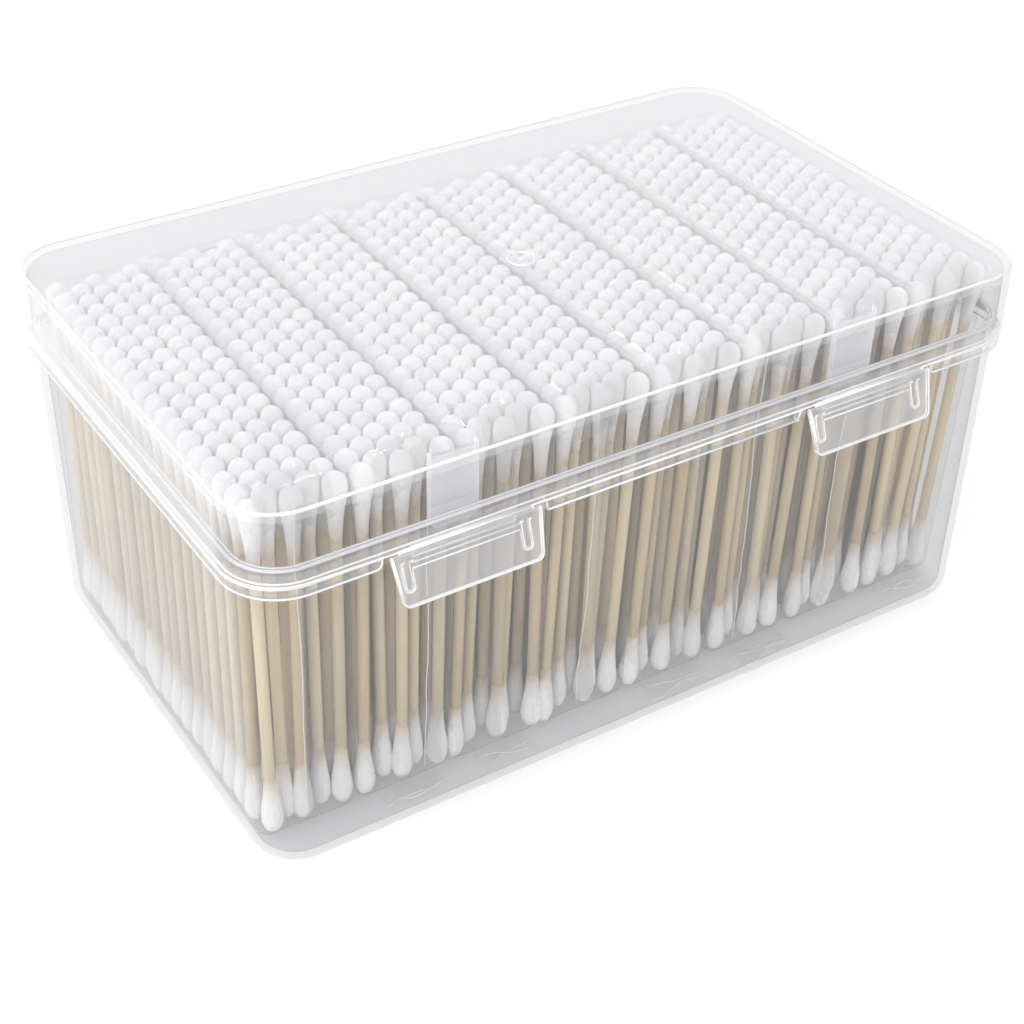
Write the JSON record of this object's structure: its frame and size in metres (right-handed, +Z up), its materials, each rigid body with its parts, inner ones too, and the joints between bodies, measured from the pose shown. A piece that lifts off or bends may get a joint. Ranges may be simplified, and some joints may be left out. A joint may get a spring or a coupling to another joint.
{
  "type": "cotton swab box",
  "caption": "Clear hinged plastic box with two latch flaps, holding film bags of standing wooden cotton swabs.",
  "frame": {"origin": "middle of the box's footprint, on the surface it stands on", "axes": "+X along the box to the right, +Y from the latches to the hinges, +Z up"},
  "size_m": [0.17, 0.1142, 0.0804],
  "materials": {
    "frosted_plastic": "translucent polypropylene",
    "clear_film": "clear glossy film",
    "birch_wood": "plain smooth birch",
    "cotton": "wound cotton wool"
  },
  "bodies": {
    "box": {"box_body": "frosted_plastic", "film_bag_1": "clear_film", "film_bag_2": "clear_film", "film_bag_3": "clear_film", "film_bag_4": "clear_film", "film_bag_5": "clear_film", "film_bag_6": "clear_film", "film_bag_7": "clear_film", "film_bag_8": "clear_film", "swab_sticks_1": "birch_wood", "swab_sticks_2": "birch_wood", "swab_sticks_3": "birch_wood", "swab_sticks_4": "birch_wood", "swab_sticks_5": "birch_wood", "swab_sticks_6": "birch_wood", "swab_sticks_7": "birch_wood", "swab_sticks_8": "birch_wood", "cotton_buds_1": "cotton", "cotton_buds_2": "cotton", "cotton_buds_3": "cotton", "cotton_buds_4": "cotton", "cotton_buds_5": "cotton", "cotton_buds_6": "cotton", "cotton_buds_7": "cotton", "cotton_buds_8": "cotton"},
    "lid": {"lid": "frosted_plastic"},
    "left_latch": {"latch_left": "frosted_plastic"},
    "right_latch": {"latch_right": "frosted_plastic"}
  },
  "joints": [
    {"name": "lid_hinge", "type": "hinge", "parent": "box", "child": "lid", "pos_m": [0, 0.0552, 0.06392], "axis": [-1, 0, 0], "range_deg": [0, 110]},
    {"name": "left_latch_hinge", "type": "hinge", "parent": "lid", "child": "left_latch", "pos_m": [-0.0443, -0.05325, 0.06482], "axis": [-1, 0, 0], "range_deg": [-17.9, 82], "stiffness_Nm_per_rad": 0.001},
    {"name": "right_latch_hinge", "type": "hinge", "parent": "lid", "child": "right_latch", "pos_m": [0.0443, -0.05325, 0.06482], "axis": [-1, 0, 0], "range_deg": [-17.9, 82], "stiffness_Nm_per_rad": 0.001}
  ]
}
